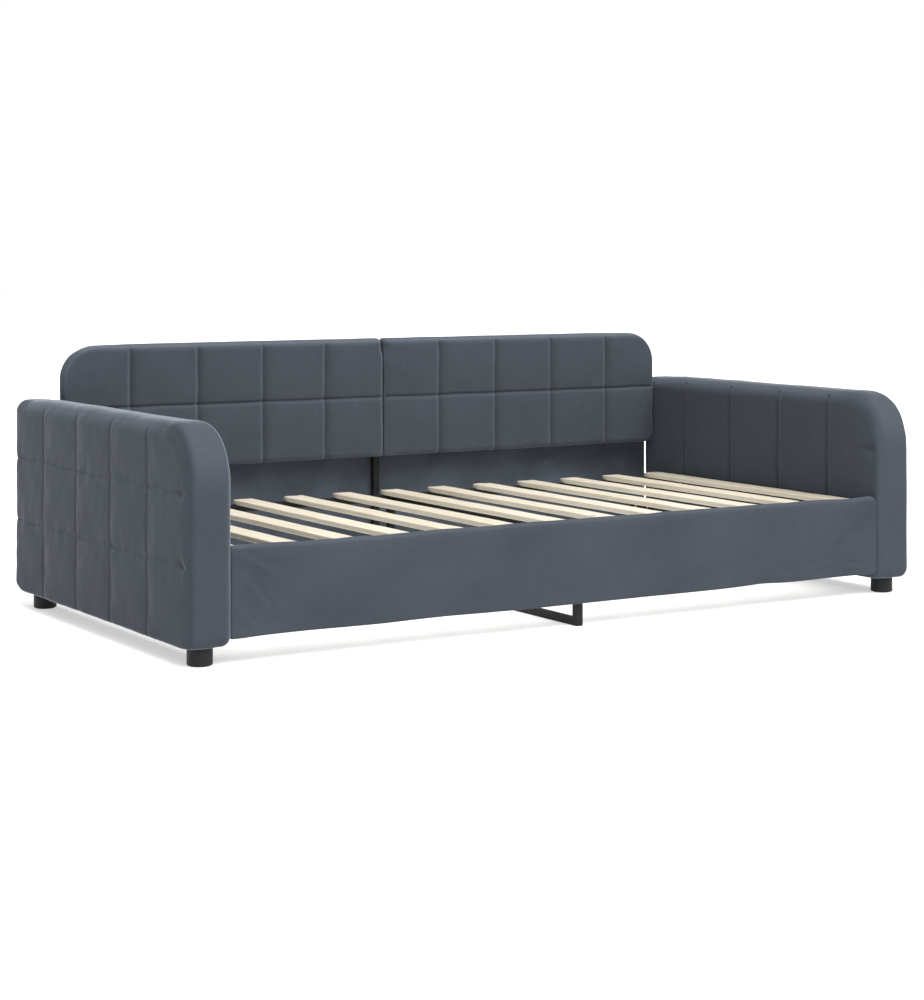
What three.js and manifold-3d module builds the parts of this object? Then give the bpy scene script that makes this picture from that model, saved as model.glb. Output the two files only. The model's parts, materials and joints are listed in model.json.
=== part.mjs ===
// A velvet daybed: two padded arms, a quilted back in two panels, upholstered front and
// back rails, and wooden slats on a steel frame with a centre leg.
// Millimetres. +X runs along the bed, -Y is the open front and +Z is up. The origin is the
// centre of the footprint on the floor.
import * as THREE from "three";
import { mergeVertices } from "three/addons/utils/BufferGeometryUtils.js";
import Module from "manifold-3d";

const wasm = await Module();
wasm.setup();

// ---- driving dimensions ----

const GAP = 0.3; // clearance between pieces that touch

const BAY_HALF = 1010; // half the length between the arms
const ARM = { thickness: 119, depth: 1140, bottom: 47.3, top: 572, foam: 18, edge: 26 };
const ARM_CORNERS = { frontBottom: 34, backBottom: 28, backTop: 36, frontTop: 138 };
const ARM_LIP = 4; // cover under the base board
const FOOT = { radius: 31, height: 47, round: 2.5, x: 1072.5, front: -514, back: 478 };

const FRONT_Y = -560; // face of the front rail
const RAIL = { half: 1009, bottom: 65, frontTop: 281, backTop: 400, corner: 22, bottomCorner: 8, edge: 6 };
const FRONT_RAIL_DEPTH = 20;
const BACK_RAIL_DEPTH = 20;
const RAIL_PADDING = { face: 4, rim: 14 };

const PANEL = { inner: 1.5, outer: 1009, bottom: 361, top: 715, face: 486, depth: 40, edge: 13 };
const PANEL_CORNERS = { outerBottom: 30, innerBottom: 14, innerTop: 14, outerTop: 90 };
const PANEL_BACK_PADDING = 3;
const PANEL_BOARD = 12;

const TUBE = { side: 20, wall: 1.5 };
const SLAT = { count: 13, width: 60, pitch: 162, thickness: 14, top: 265, round: 2 };
const DECK_BACK = 454; // outer face of the back side tube, where the slats end
const END_CLEARANCE = 3; // between the steel frame and each arm

const BOARD = 12; // side boards of the arms
const POST = 40; // timber posts of the arms, along the bed's depth
const BASE_BOARD = { thickness: 20, inset: 22 };
const PLATE = 3; // steel of the angles and plates
const PLUG = { flange: 2.5, stemTop: 14 }; // plastic plugs under the leg's posts

const BOLT = { shank: 4, head: 8, headHeight: 3, nut: 7, nutHeight: 6, beyondNut: 2 };
const BOLT_PLACES = { front: -400, back: 320 };
const HOLE_BEYOND = 4; // how far a bolt's hole runs past what it goes through
const STUD = { radius: 4, inBoard: 12 };

// ---- places that follow from them ----

const ARM_OUTER = BAY_HALF + ARM.thickness;
const ARM_HALF_DEPTH = ARM.depth / 2;
const FRONT_RAIL_BACK = FRONT_Y + FRONT_RAIL_DEPTH;
const DECK_FRONT = FRONT_RAIL_BACK + GAP;
const TUBE_TOP = SLAT.top - SLAT.thickness - GAP;
const TUBE_BOTTOM = TUBE_TOP - TUBE.side;
const PANEL_BACK = PANEL.face + PANEL.depth;
const BACK_RAIL_FACE = ARM_HALF_DEPTH - BACK_RAIL_DEPTH;
const POST_BACK = BACK_RAIL_FACE - GAP;
const POST_FACE = POST_BACK - TUBE.side;

// ---- materials ----

const finish = {
  velvet: () => new THREE.MeshStandardMaterial({ color: 0x50565f, roughness: 0.9 }),
  board: () => new THREE.MeshStandardMaterial({ color: 0xb08d62, roughness: 0.8 }),
  slatWood: () => new THREE.MeshStandardMaterial({ color: 0xe9dfc6, roughness: 0.6 }),
  blackSteel: () => new THREE.MeshStandardMaterial({ color: 0x202022, roughness: 0.45, metalness: 0.6 }),
  blackPlastic: () => new THREE.MeshStandardMaterial({ color: 0x1b1b1c, roughness: 0.5 }),
  zinc: () => new THREE.MeshStandardMaterial({ color: 0xb4b6b8, roughness: 0.35, metalness: 0.9 }),
};

// ---- solids ----

function solidOf(geometry) {
  const bare = geometry.clone();
  bare.deleteAttribute("normal");
  bare.deleteAttribute("uv");
  const merged = mergeVertices(bare, 1e-3);
  const vertProperties = new Float32Array(merged.attributes.position.array);
  const triVerts = new Uint32Array(merged.index.array);
  return new wasm.Manifold(new wasm.Mesh({ numProp: 3, vertProperties, triVerts }));
}

function geometryOf(solid) {
  const mesh = solid.getMesh();
  const geometry = new THREE.BufferGeometry();
  geometry.setAttribute("position", new THREE.BufferAttribute(mesh.vertProperties, 3));
  geometry.setIndex(new THREE.BufferAttribute(mesh.triVerts, 1));
  return geometry;
}

function cut(geometry, ...tools) {
  return geometryOf(tools.reduce((left, tool) => left.subtract(solidOf(tool)), solidOf(geometry)));
}

function join(...geometries) {
  return geometryOf(geometries.map(solidOf).reduce((whole, piece) => whole.add(piece)));
}

function box([x0, x1], [y0, y1], [z0, z1]) {
  const geometry = new THREE.BoxGeometry(x1 - x0, y1 - y0, z1 - z0);
  return geometry.translate((x0 + x1) / 2, (y0 + y1) / 2, (z0 + z1) / 2);
}

// An outline drawn in local x and y with its thickness along local z, turned into place.
const UP = new THREE.Vector3(0, 0, 1);
const AXIS = { x: [1, 0, 0], y: [0, 1, 0], z: [0, 0, 1], front: [0, -1, 0] };
const basis = (...names) => new THREE.Matrix4().makeBasis(...names.map((n) => new THREE.Vector3(...AXIS[n])));
const ACROSS = basis("y", "z", "x"); // outline in depth and height, thickness along the bed
const FACING = basis("x", "z", "front"); // outline in length and height, thickness to the front

// Points round a rectangle with its own radius at each corner, pulled in by `inset`.
// Corners run low-left, low-right, high-right, high-left; `steps` is their arc steps.
function outline(rect, radii, steps, inset = 0) {
  const corners = [
    [rect.left, rect.bottom, Math.PI],
    [rect.right, rect.bottom, 1.5 * Math.PI],
    [rect.right, rect.top, 0],
    [rect.left, rect.top, 0.5 * Math.PI],
  ];
  return corners.flatMap(([x, y, start], i) => {
    const radius = Math.max(radii[i] - inset, 1);
    const toCentreX = Math.sign((rect.left + rect.right) / 2 - x);
    const toCentreY = Math.sign((rect.bottom + rect.top) / 2 - y);
    const centreX = x + toCentreX * (radius + inset);
    const centreY = y + toCentreY * (radius + inset);
    return Array.from({ length: steps[i] + 1 }, (_, k) => {
      const turn = start + (k / steps[i]) * (Math.PI / 2);
      return new THREE.Vector2(centreX + radius * Math.cos(turn), centreY + radius * Math.sin(turn));
    });
  });
}

// A closed solid through a stack of outlines with the same number of points.
function loft(layers) {
  const count = layers[0].points.length;
  const positions = layers.flatMap(({ points, depth }) => points.flatMap((p) => [p.x, p.y, depth]));
  const index = [];
  for (let layer = 0; layer < layers.length - 1; layer++) {
    for (let i = 0; i < count; i++) {
      const a = layer * count + i;
      const b = layer * count + ((i + 1) % count);
      index.push(a, b, b + count, a, b + count, a + count);
    }
  }
  const last = (layers.length - 1) * count;
  for (const [i, j, k] of THREE.ShapeUtils.triangulateShape(layers[0].points, [])) {
    index.push(i, k, j);
  }
  for (const [i, j, k] of THREE.ShapeUtils.triangulateShape(layers.at(-1).points, [])) {
    index.push(last + i, last + j, last + k);
  }
  const geometry = new THREE.BufferGeometry();
  geometry.setAttribute("position", new THREE.Float32BufferAttribute(positions, 3));
  geometry.setIndex(index);
  return geometry;
}

// A slab between two depths. `edge` rounds both of its faces into its sides.
function slab(rect, radii, steps, [from, to], edge = 0, edgeSteps = 3) {
  if (edge === 0) {
    const points = outline(rect, radii, steps);
    return loft([{ points, depth: from }, { points, depth: to }]);
  }
  const quarter = Array.from({ length: edgeSteps + 1 }, (_, k) => (k / edgeSteps) * (Math.PI / 2));
  const ring = (turn) => outline(rect, radii, steps, edge * (1 - Math.sin(turn)));
  const rise = (turn) => edge * (1 - Math.cos(turn));
  const lower = quarter.map((turn) => ({ points: ring(turn), depth: from + rise(turn) }));
  const upper = quarter.map((turn) => ({ points: ring(turn), depth: to - rise(turn) }));
  return loft([...lower, ...upper.reverse()]);
}

const shrink = (rect, by) => ({
  left: rect.left + by,
  right: rect.right - by,
  bottom: rect.bottom + by,
  top: rect.top - by,
});

// A square steel tube along an axis, with its outer faces given on the other two.
function tube(axis, [from, to], lowA, lowB) {
  const square = (inset) => {
    const low = inset;
    const high = TUBE.side - inset;
    return [[low, low], [high, low], [high, high], [low, high]].map((p) => new THREE.Vector2(...p));
  };
  const shape = new THREE.Shape(square(0));
  shape.holes.push(new THREE.Path(square(TUBE.wall)));
  const geometry = new THREE.ExtrudeGeometry(shape, { depth: to - from, bevelEnabled: false });
  if (axis === "x") return geometry.applyMatrix4(basis("y", "z", "x")).translate(from, lowA, lowB);
  if (axis === "y") return geometry.applyMatrix4(basis("z", "x", "y")).translate(lowA, from, lowB);
  return geometry.translate(lowA, lowB, from);
}

// A turned piece from its profile of [radius, height], pointing along `direction`.
function turned(profile, at, direction, sides) {
  const points = profile.map(([radius, height]) => new THREE.Vector2(radius, height));
  const geometry = new THREE.LatheGeometry(points, sides);
  const turn = new THREE.Quaternion().setFromUnitVectors(new THREE.Vector3(0, 1, 0), direction);
  return geometry.applyQuaternion(turn).translate(at.x, at.y, at.z);
}

// ---- the assembly ----

const SIDES = [[-1, "left"], [1, "right"]];
const daybed = new THREE.Group();

function add(name, geometry, material) {
  const mesh = new THREE.Mesh(geometry, material);
  mesh.name = name;
  daybed.add(mesh);
  return mesh;
}

// ---- bolts that hold the steel frame to the arms, and the holes they need ----

const END_TUBE_FACE = BAY_HALF - END_CLEARANCE - TUBE.side;
const TUBE_MIDDLE = TUBE_BOTTOM + TUBE.side / 2;
const NUT_FACE = ARM.thickness - ARM.foam - BOARD; // how far the nut stays from the arm's far side

function boltProfile() {
  const seat = END_TUBE_FACE - GAP; // the head's underside, along the bed
  const nutNear = ARM_OUTER - NUT_FACE + 2 * GAP - seat;
  const nutFar = nutNear + BOLT.nutHeight;
  const end = nutFar + BOLT.beyondNut;
  return [
    [0, -end],
    [BOLT.shank, -end],
    [BOLT.shank, -nutFar],
    [BOLT.nut, -nutFar],
    [BOLT.nut, -nutNear],
    [BOLT.shank, -nutNear],
    [BOLT.shank, 0],
    [BOLT.head, 0],
    [BOLT.head, BOLT.headHeight],
    [0, BOLT.headHeight],
  ];
}

function boltAt(side, y) {
  const seat = new THREE.Vector3(side * (END_TUBE_FACE - GAP), y, TUBE_MIDDLE);
  return turned(boltProfile(), seat, new THREE.Vector3(-side, 0, 0), 8);
}

function boltHoles(side) {
  const radius = BOLT.shank + GAP;
  const length = ARM.foam + BOARD + TUBE.side + END_CLEARANCE + HOLE_BEYOND;
  const profile = [[0, -length], [radius, -length], [radius, 2], [0, 2]];
  return Object.values(BOLT_PLACES).map((y) => {
    const seat = new THREE.Vector3(side * END_TUBE_FACE, y, TUBE_MIDDLE);
    return turned(profile, seat, new THREE.Vector3(-side, 0, 0), 8);
  });
}

// ---- arms ----

// Depth runs left to right in an arm's outline, so its front corners are on the left.
const ARM_RECT = { left: -ARM_HALF_DEPTH, right: ARM_HALF_DEPTH, bottom: ARM.bottom, top: ARM.top };
const armRadii = (inset) =>
  [ARM_CORNERS.frontBottom, ARM_CORNERS.backBottom, ARM_CORNERS.backTop, ARM_CORNERS.frontTop].map(
    (radius) => Math.max(radius - inset, 2),
  );

function buildArm(side, sideName) {
  const [x0, x1] = side < 0 ? [-ARM_OUTER, -BAY_HALF] : [BAY_HALF, ARM_OUTER];
  const name = (piece) => `arm_${sideName}_${piece}`;

  const cavityRect = { ...shrink(ARM_RECT, ARM.foam), bottom: ARM.bottom + ARM_LIP };
  const cavityX = [x0 + ARM.foam, x1 - ARM.foam];
  const cavity = slab(cavityRect, armRadii(ARM.foam), [1, 1, 2, 5], cavityX).applyMatrix4(ACROSS);
  const mouth = box(
    [x0 + 2 * ARM.foam, x1 - 2 * ARM.foam],
    [cavityRect.left + ARM.foam, cavityRect.right - ARM.foam],
    [ARM.bottom - 1, cavityRect.bottom + 1],
  );
  const body = slab(ARM_RECT, armRadii(0), [3, 3, 3, 9], [x0, x1], ARM.edge).applyMatrix4(ACROSS);
  add(name("cover"), cut(body, cavity, mouth, ...boltHoles(side)), finish.velvet());

  const insideX = [cavityX[0] + GAP, cavityX[1] - GAP];
  const inside = shrink(cavityRect, GAP);
  const base = [inside.bottom, inside.bottom + BASE_BOARD.thickness];
  const baseY = [inside.left + BASE_BOARD.inset, inside.right - BASE_BOARD.inset];
  const baseBoard = box(insideX, baseY, base);
  const studs = [FOOT.front, FOOT.back].map((y) => studHole(side * FOOT.x, y));
  add(name("base_board"), cut(baseBoard, ...studs), finish.board());

  const boardRect = { ...inside, bottom: base[1] + GAP };
  const board = (from) =>
    slab(boardRect, armRadii(ARM.foam + GAP), [1, 1, 2, 5], [from, from + BOARD]).applyMatrix4(ACROSS);
  const [lowX, highX] = [insideX[0], insideX[1] - BOARD];
  const [innerX, outerX] = side < 0 ? [highX, lowX] : [lowX, highX];
  add(name("inner_board"), cut(board(innerX), ...boltHoles(side)), finish.board());
  add(name("outer_board"), board(outerX), finish.board());

  const postX = [lowX + BOARD + GAP, highX - GAP];
  const postTop = ARM.top - ARM_CORNERS.frontTop - ARM.foam;
  const front = [inside.left + GAP, inside.left + GAP + POST];
  const back = [inside.right - GAP - POST, inside.right - GAP];
  const topRail = [inside.top - POST - GAP, inside.top - GAP];
  add(name("front_post"), box(postX, front, [boardRect.bottom, postTop]), finish.board());
  add(name("back_post"), box(postX, back, [boardRect.bottom, topRail[0] - GAP]), finish.board());
  const railStart = inside.left + ARM_CORNERS.frontTop;
  const railEnd = inside.right - ARM_CORNERS.backTop;
  add(name("top_rail"), box(postX, [railStart, railEnd], topRail), finish.board());
}

// ---- feet: a round foot with its threaded stud, and the hole it needs in the base board ----

const STUD_TOP = ARM.bottom + ARM_LIP + GAP + STUD.inBoard;

function buildFoot(name, x, y) {
  const profile = [
    [0, 0],
    [FOOT.radius - FOOT.round, 0],
    [FOOT.radius, FOOT.round],
    [FOOT.radius, FOOT.height],
    [STUD.radius, FOOT.height],
    [STUD.radius, STUD_TOP],
    [0, STUD_TOP],
  ];
  add(name, turned(profile, new THREE.Vector3(x, y, 0), UP, 24), finish.blackPlastic());
}

function studHole(x, y) {
  const radius = STUD.radius + GAP;
  const top = STUD_TOP + GAP;
  const profile = [[0, FOOT.height], [radius, FOOT.height], [radius, top], [0, top]];
  return turned(profile, new THREE.Vector3(x, y, 0), UP, 12);
}

// ---- upholstered boards: a pocket of padding and velvet, open below, over a board ----

function buildPadded(name, rect, radii, steps, { face, depth, edge, frontPad, backPad, rim }) {
  const back = -(face + depth); // local depth runs to the front
  const outer = slab(rect, radii, steps, [back, back + depth], edge);
  const room = { ...shrink(rect, rim), bottom: rect.bottom };
  const roomRadii = [1, 1, ...radii.slice(2).map((radius) => Math.max(radius - rim, 2))];
  const coarse = [1, 1, ...steps.slice(2).map((count) => Math.ceil(count / 2))];
  const roomDepth = [back + backPad, back + depth - frontPad];
  const pocket = slab({ ...room, bottom: rect.bottom - 5 }, roomRadii, coarse, roomDepth);
  add(`${name}_cover`, cut(outer, pocket).applyMatrix4(FACING), finish.velvet());
  const fitted = { ...shrink(room, GAP), bottom: rect.bottom + edge / 2 };
  const boardDepth = [roomDepth[0] + GAP, roomDepth[1] - GAP];
  const board = slab(fitted, roomRadii, coarse, boardDepth);
  add(`${name}_board`, board.applyMatrix4(FACING), finish.board());
}

function buildRail(name, top, face, depth) {
  const rect = { left: -RAIL.half, right: RAIL.half, bottom: RAIL.bottom, top };
  const radii = [RAIL.bottomCorner, RAIL.bottomCorner, RAIL.corner, RAIL.corner];
  const pads = { frontPad: RAIL_PADDING.face, backPad: RAIL_PADDING.face, rim: RAIL_PADDING.rim };
  buildPadded(name, rect, radii, [1, 1, 4, 4], { face, depth, edge: RAIL.edge, ...pads });
}

function buildPanel(side, sideName) {
  const [left, right] = side < 0 ? [-PANEL.outer, -PANEL.inner] : [PANEL.inner, PANEL.outer];
  const rect = { left, right, bottom: PANEL.bottom, top: PANEL.top };
  const { outerBottom, innerBottom, innerTop, outerTop } = PANEL_CORNERS;
  const radii = [innerBottom, outerBottom, outerTop, innerTop];
  const steps = [3, 3, 8, 4];
  const mirrored = ([lowLeft, lowRight, highRight, highLeft]) => [lowRight, lowLeft, highLeft, highRight];
  const frontPad = PANEL.depth - PANEL_BOARD - PANEL_BACK_PADDING;
  const pads = { frontPad, backPad: PANEL_BACK_PADDING, rim: PANEL.edge };
  buildPadded(
    `back_panel_${sideName}`,
    rect,
    side < 0 ? mirrored(radii) : radii,
    side < 0 ? mirrored(steps) : steps,
    { face: PANEL.face, depth: PANEL.depth, edge: PANEL.edge, ...pads },
  );
}

// ---- steel frame and centre leg ----

function buildFrame() {
  const steel = finish.blackSteel;
  const endX = BAY_HALF - END_CLEARANCE;
  const between = [DECK_FRONT + TUBE.side + GAP, DECK_BACK - TUBE.side - GAP];
  add("side_tube_front", tube("x", [-endX, endX], DECK_FRONT, TUBE_BOTTOM), steel());
  add("side_tube_back", tube("x", [-endX, endX], DECK_BACK - TUBE.side, TUBE_BOTTOM), steel());
  for (const [side, sideName] of SIDES) {
    const endTube = tube("y", between, side < 0 ? -endX : endX - TUBE.side, TUBE_BOTTOM);
    add(`end_tube_${sideName}`, cut(endTube, ...boltHoles(side)), steel());
    for (const [end, y] of Object.entries(BOLT_PLACES)) {
      add(`frame_bolt_${end}_${sideName}`, boltAt(side, y), finish.zinc());
    }
  }
  add("centre_beam", tube("y", between, -TUBE.side / 2, TUBE_BOTTOM), steel());

  const legHeight = [PLUG.flange + GAP, TUBE_BOTTOM - GAP];
  add("leg_front_post", tube("z", legHeight, -TUBE.side / 2, DECK_FRONT), steel());
  add("leg_rear_post", tube("z", legHeight, -TUBE.side / 2, DECK_BACK - TUBE.side), steel());
  add("leg_floor_bar", tube("y", between, -TUBE.side / 2, 0), steel());
  const stopper = (y) => {
    const bore = TUBE.wall + GAP;
    const half = TUBE.side / 2;
    const flange = box([-half, half], [y, y + TUBE.side], [0, PLUG.flange]);
    const stemHeight = [PLUG.flange - 1, PLUG.stemTop];
    const stem = box([-half + bore, half - bore], [y + bore, y + TUBE.side - bore], stemHeight);
    return join(flange, stem);
  };
  add("leg_front_plug", stopper(DECK_FRONT), finish.blackPlastic());
  add("leg_rear_plug", stopper(DECK_BACK - TUBE.side), finish.blackPlastic());
}

function buildSlats() {
  const first = (-SLAT.pitch * (SLAT.count - 1)) / 2;
  const half = SLAT.width / 2;
  const bottom = SLAT.top - SLAT.thickness;
  for (let i = 0; i < SLAT.count; i++) {
    const x = first + i * SLAT.pitch;
    const section = { left: x - half, right: x + half, bottom, top: SLAT.top };
    const radii = Array(4).fill(SLAT.round);
    const slat = slab(section, radii, [1, 1, 1, 1], [-DECK_BACK, -DECK_FRONT]).applyMatrix4(FACING);
    add(`slat_${String(i + 1).padStart(2, "0")}`, slat, finish.slatWood());
  }
}

// ---- back post, angles and plates ----

const JOINING_PLATE = { half: 70, heights: [[420, 480], [600, 660]] };
const BACK_POST = [75, 665];
const PANEL_ANGLE = { reach: 60, deep: 19, height: [430, 560] };
const FRONT_ANGLE = { reach: 50, deep: 60, height: [90, 220] };
const BACK_ANGLE = { reach: 50, deep: 60, height: [80, 160] };

// An angle against an arm: one leg along X on the plane y = `face`, the other along Y.
function angle(side, face, toward, { reach, deep, height }) {
  const wall = BAY_HALF - GAP;
  const alongX = box([wall - reach, wall], [0, PLATE], height);
  const alongY = box([wall - PLATE, wall], [0, deep], height);
  const geometry = join(alongX, alongY);
  const mirror = new THREE.Matrix4().makeScale(side, toward, 1);
  const solid = solidOf(geometry).transform(mirror.elements);
  return geometryOf(solid).translate(0, face, 0);
}

function buildSteelwork() {
  const steel = finish.blackSteel;
  const plates = JOINING_PLATE.heights.map((height) =>
    box([-JOINING_PLATE.half, JOINING_PLATE.half], [PANEL_BACK + GAP, POST_FACE + 1], height),
  );
  add("back_post", join(tube("z", BACK_POST, -TUBE.side / 2, POST_FACE), ...plates), steel());
  for (const [side, sideName] of SIDES) {
    add(`panel_angle_${sideName}`, angle(side, PANEL_BACK + GAP, 1, PANEL_ANGLE), steel());
    add(`front_rail_angle_${sideName}`, angle(side, DECK_FRONT, 1, FRONT_ANGLE), steel());
    add(`back_rail_angle_${sideName}`, angle(side, POST_BACK, -1, BACK_ANGLE), steel());
  }
}

for (const [side, sideName] of SIDES) {
  buildArm(side, sideName);
  buildFoot(`foot_front_${sideName}`, side * FOOT.x, FOOT.front);
  buildFoot(`foot_back_${sideName}`, side * FOOT.x, FOOT.back);
  buildPanel(side, sideName);
}
buildRail("front_rail", RAIL.frontTop, FRONT_Y, FRONT_RAIL_DEPTH);
buildRail("back_rail", RAIL.backTop, BACK_RAIL_FACE, BACK_RAIL_DEPTH);
buildFrame();
buildSlats();
buildSteelwork();

export default daybed;
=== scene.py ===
"""Velvet daybed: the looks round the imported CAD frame. Lengths are millimetres, and turn into metres when a
mesh is made, apart from those of the materials, the floor and the camera, which are metres."""

import json
import math
from types import SimpleNamespace

import bpy
import numpy as np
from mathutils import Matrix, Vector


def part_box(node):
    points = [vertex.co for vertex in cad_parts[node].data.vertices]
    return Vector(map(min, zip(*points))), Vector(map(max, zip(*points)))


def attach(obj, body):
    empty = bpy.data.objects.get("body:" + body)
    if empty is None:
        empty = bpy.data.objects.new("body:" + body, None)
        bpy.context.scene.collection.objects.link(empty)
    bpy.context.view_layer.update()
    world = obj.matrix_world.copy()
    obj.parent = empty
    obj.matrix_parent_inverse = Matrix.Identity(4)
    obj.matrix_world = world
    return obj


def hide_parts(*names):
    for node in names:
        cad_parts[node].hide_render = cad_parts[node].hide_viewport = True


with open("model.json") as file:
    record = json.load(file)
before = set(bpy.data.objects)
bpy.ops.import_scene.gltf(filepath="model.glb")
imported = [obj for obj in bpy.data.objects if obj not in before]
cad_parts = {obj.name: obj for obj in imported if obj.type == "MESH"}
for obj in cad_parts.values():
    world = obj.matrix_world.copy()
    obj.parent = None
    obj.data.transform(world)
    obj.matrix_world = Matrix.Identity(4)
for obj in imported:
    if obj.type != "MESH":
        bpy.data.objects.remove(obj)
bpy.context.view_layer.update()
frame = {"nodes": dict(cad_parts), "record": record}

MM = 0.001
TINY = 1e-9
SIDES = {"left": -1, "right": 1}

# A level camera, with the picture shifted instead, so that upright edges stay upright.
CAMERA = {"lens": 79.31, "sensor": 36, "shift_up": -0.2485, "place": (-3.287, -5.249, 0.975), "turn": 31.854}
SUN = {"strength": 3.8, "angle": 50, "towards": (-0.10, 0.48, -0.87)}
SKY_STRENGTH = 1.0
FLOOR_REACH = 40
FLOOR_GLOW = 0.42

# Lines of the velvet's grids: how far apart, and how close beside a seam.
GRID_STEP = 9
LINES_BESIDE_SEAM = (0, 1.2, 2.8, 5, 8, 12, 17)
CLOSEST_LINES = 0.3

# Cloth that gives the padding its shape. A shrink under 0 makes the sheet larger, so that it can rise. Its
# heights are divided by the height at this percentile, and kept within limits.
CLOTH = {"step": 14, "frames": 12, "pressure": 4.0, "shrink": -0.03}
FULL_PERCENTILE = 95
PADDING_LIMITS = (-0.3, 1.2)

# First seeds of the random unevenness. Each kind of unevenness adds its own number.
SEEDS = {"arm": {"left": 11, "right": 47}, "panel": {"left": 131, "right": 173}}

# How far the padding stands out in the middle of a square, and its share on an arm's inner face.
PAD_HEIGHT = {"arm": 2.2, "panel": 2.4, "rail": 1.2}
ARM_INSIDE_SHARE = 0.3

# Sewn lines, for crease().
ARM_OUTER_COLUMN = {"sharp": 0.9, "soft": 0.3, "width": 27, "reach": (30, 14)}
ARM_INNER_COLUMN = {"sharp": 6.0, "soft": 0.8, "width": 20, "reach": (6, 7)}
ARM_ROW = {"sharp": 2.0, "soft": 1.8, "width": 20, "reach": (7, 5)}
PANEL_COLUMN = {"sharp": 6.0, "soft": 0.8, "width": 30, "reach": (9, 22), "bend": (0.8, 1.8)}
PANEL_ROW = {"sharp": 5.2, "soft": 1.6, "width": 24, "reach": (9, 5), "bend": (1.5, 1.0)}

# Quilting of the arms, from the bed's middle towards the back, and up from the floor.
ARM_COLUMN_SEAMS = {"left": (-337, -109, 115, 344), "right": (-349, -126, 102, 330)}
ARM_ROW_SEAMS = (240, 410)
ARM_EDGE = 30
ARM_TOP_EDGE = 44
ARM_BOTTOM_EDGE = 12
ARM_FRONT_EDGE = {"left": {"inner": 24, "outer": 27}, "right": {"inner": 17, "outer": 20}}
ARM_CORNERS = {"front_bottom": 30, "back_bottom": 26, "back_top": 34, "front_top": 132}
ARM_BACK_EDGE_EXTRA = 22
ARM_BACK_TOP_DROP = 4.5
ARM_BOTTOM_SAG = {"left": 4.0, "right": 5.0}
# Painted light on the arms' velvet, as shares of its colour: painted highlights and painted shade.
ARM_FACE_PAINTED_LIGHT = {"left": -0.09, "right": 0.17}
ARM_PAINTED_LIGHT = {"top": 0.42, "front_arc": 0.28, "right_edge": 0.55, "left_edge": -0.12, "low_front": -0.08}

# Quilting of the back panels, outwards from the middle, and up from the floor.
PANEL_COLUMN_SEAMS = {"left": (196.5, 400.6, 607.4, 815.8), "right": (197.5, 400.2, 607.3, 818.0)}
PANEL_ROW_SEAM = 539.5
PANEL_EDGE = 13
PANEL_TOP_EDGE = 24
PANEL_BACK_EDGE = 5
PANEL_SWELL = {"left": 4.0, "right": 0.5}
PANEL_JOINT_EDGE = 7
PANEL_DROOP = 2.4
# Painted highlights on the panels' velvet, as shares of its colour: top, front rim and whole front.
PANEL_PAINTED_LIGHT = {"top": 0.45, "rim": 0.3, "face": 0.07}
PANEL_CORNERS = {"outer_bottom": 30, "inner_bottom": 10, "inner_top": 14, "outer_top": 94}

RAIL_EDGE = 6
RAIL_TOP_EDGE = 14
RAIL_TOP_CORNER = 22
RAIL_BOTTOM_CORNER = 7
FRONT_RAIL_LEFT_CORNER = 5
RAIL_STEP = {"front": 9, "back": 10}
RAIL_STEP_UP, RAIL_STEP_THROUGH = 7, 4
RAIL_REACH = {"front": 4.5, "back": 11}
RAIL_HEM_DROP = {"front": 4.0, "back": 2.0}
RAIL_SLACK = {"front": (-1.2, 9), "back": (-1.6, 9)}
FRONT_RAIL_ROLL = {"height": 32, "depth": 5.0}
# Painted light on the front rail's velvet: painted highlights and painted shade, and random tone patches.
FRONT_RAIL_TONE_AND_PAINTED_LIGHT = {"top": 0.4, "patches": 0.03, "face": -0.035, "fold": 0.05}
FOLD_HEIGHT = 2.6
FOLD_NARROWING = 0.8

# Folds of the rails' velvet: start and end (along the bed, up from the floor), width and height.
FRONT_RAIL_FOLDS = (
    ((-975, 205), (-900, 105), 10, 2.2), ((-1000, 262), (-880, 205), 13, 1.8),
    ((-935, 190), (-855, 80), 13, 1.5), ((-998, 140), (-940, 70), 9, 1.5),
    ((-890, 150), (-820, 75), 12, 1.0),
    ((1002, 262), (820, 150), 9, 2.6), ((1004, 205), (900, 90), 10, 1.4),
    ((960, 282), (740, 225), 15, 1.3), ((700, 190), (560, 75), 20, 1.3),
    ((980, 84), (870, 92), 6, 1.6), ((860, 110), (640, 70), 15, 1.4),
    ((-420, 285), (-250, 220), 26, 1.0), ((180, 280), (330, 190), 30, 1.0))
BACK_RAIL_FOLDS = (
    ((-990, 380), (-860, 250), 15, 2.4), ((-960, 120), (-860, 220), 16, 1.5),
    ((-900, 300), (-700, 345), 12, 1.8), ((-640, 280), (-420, 350), 14, 2.0),
    ((-330, 300), (-180, 340), 12, 1.6), ((160, 290), (330, 350), 14, 2.2),
    ((420, 345), (300, 290), 12, 1.8), ((560, 300), (760, 350), 13, 2.2),
    ((985, 385), (850, 240), 15, 2.4), ((975, 110), (880, 200), 15, 1.4))

SLAT_COUNT = 13
SLAT_ROUNDING = 2.6
SLAT_STEPS = (9, 26, 5)

# The foot's plastic body, its eased lower edge, and the glide let into its underside.
FOOT = {"top": 47.0, "ease": 3.2, "rim": 1.6, "glide_inset": 6.0, "stud": 4.0}

# Steel angles and joining plates, and the screws on them. A screw's socket is in shares of its head.
GAP = 0.3
STEEL = 3
PLATE_DEPTH = 4.4
PLATE_MIDDLES = (450, 630)
PLATE_SCREWS = {"from_edge": 25, "from_middle": 15}
SCREW = {"radius": 4.6, "height": 2.6, "segments": 18, "socket_radius": 0.42, "socket_floor": 0.5}
ANGLE_SCREW_FROM_END = 20

# Eased edges of the steel, and the angles in degrees past which an edge counts as sharp.
STEEL_BEVEL = 0.9
WELD_REACH = 0.02
SHARP_PLASTIC, SHARP_STEEL = 35, 40


# ---------------------------------------------------------------- shapes

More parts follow.
